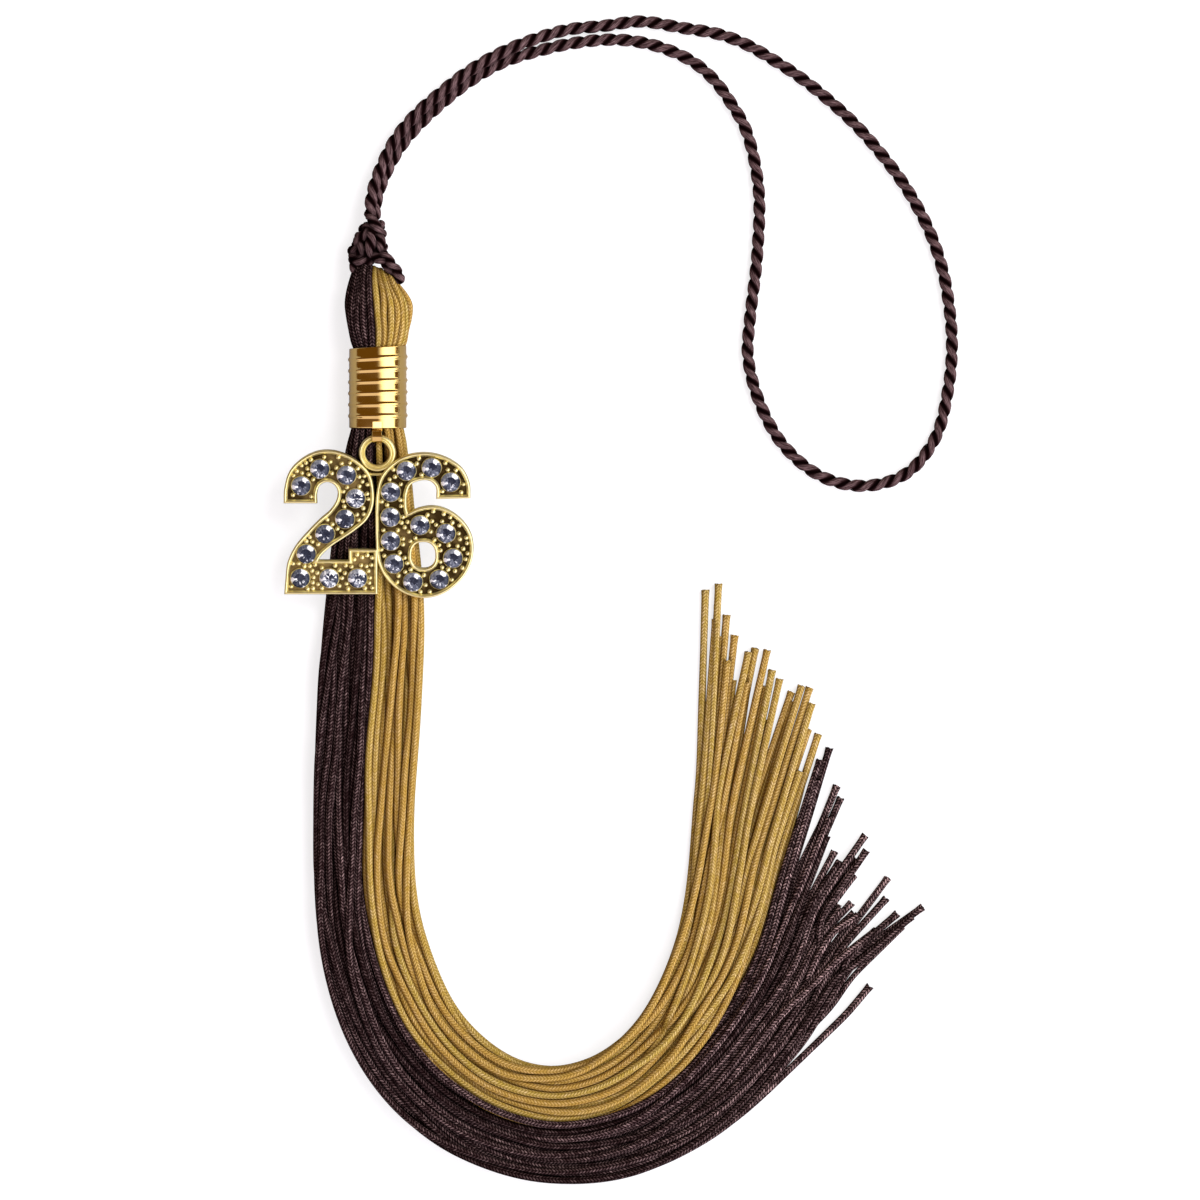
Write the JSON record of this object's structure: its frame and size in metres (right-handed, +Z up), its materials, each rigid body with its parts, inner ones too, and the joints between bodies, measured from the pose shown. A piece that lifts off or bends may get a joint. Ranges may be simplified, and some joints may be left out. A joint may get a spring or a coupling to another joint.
{
  "type": "graduation tassel",
  "caption": "Graduation tassel in dark brown and gold strands with a ribbed gold ferrule, a rhinestone numeral charm and a long twisted hanger cord, lying flat",
  "frame": {"origin": "on the surface that the tassel lies on, under the middle of the ferrule", "axes": "+Z up from the surface, +Y along the tassel from the ferrule to the knot, +X to the side on which the hanger cord and the skirt's ends lie"},
  "size_m": [0.108, 0.1867, 0.0104],
  "materials": {
    "dark_yarn": "dark plum-brown rayon, chainette strands and two-ply twisted cord, soft sheen",
    "gold_yarn": "old-gold rayon chainette strands, soft sheen",
    "gold_metal": "polished gold-tone plating, darker in the charm's recessed floor",
    "rhinestone": "clear blue-grey faceted stone, foil backed, high gloss"
  },
  "bodies": {
    "tassel": {"hanger_cord": "dark_yarn", "hanger_knot": "dark_yarn", "dark_strands": "dark_yarn", "gold_strands": "gold_yarn", "ferrule": "gold_metal"},
    "charm": {"charm_plate": "gold_metal", "stone_two_1": "rhinestone", "stone_two_2": "rhinestone", "stone_two_3": "rhinestone", "stone_two_4": "rhinestone", "stone_two_5": "rhinestone", "stone_two_6": "rhinestone", "stone_two_7": "rhinestone", "stone_two_8": "rhinestone", "stone_two_9": "rhinestone", "stone_two_10": "rhinestone", "stone_six_1": "rhinestone", "stone_six_2": "rhinestone", "stone_six_3": "rhinestone", "stone_six_4": "rhinestone", "stone_six_5": "rhinestone", "stone_six_6": "rhinestone", "stone_six_7": "rhinestone", "stone_six_8": "rhinestone", "stone_six_9": "rhinestone", "stone_six_10": "rhinestone", "stone_six_11": "rhinestone", "stone_six_12": "rhinestone"}
  },
  "joints": [
    {"name": "charm_swing", "type": "hinge", "parent": "tassel", "child": "charm", "pos_m": [-0.0002, -0.007, 0.0091], "axis": [-1, 0, 0], "range_deg": [0, 150]}
  ]
}
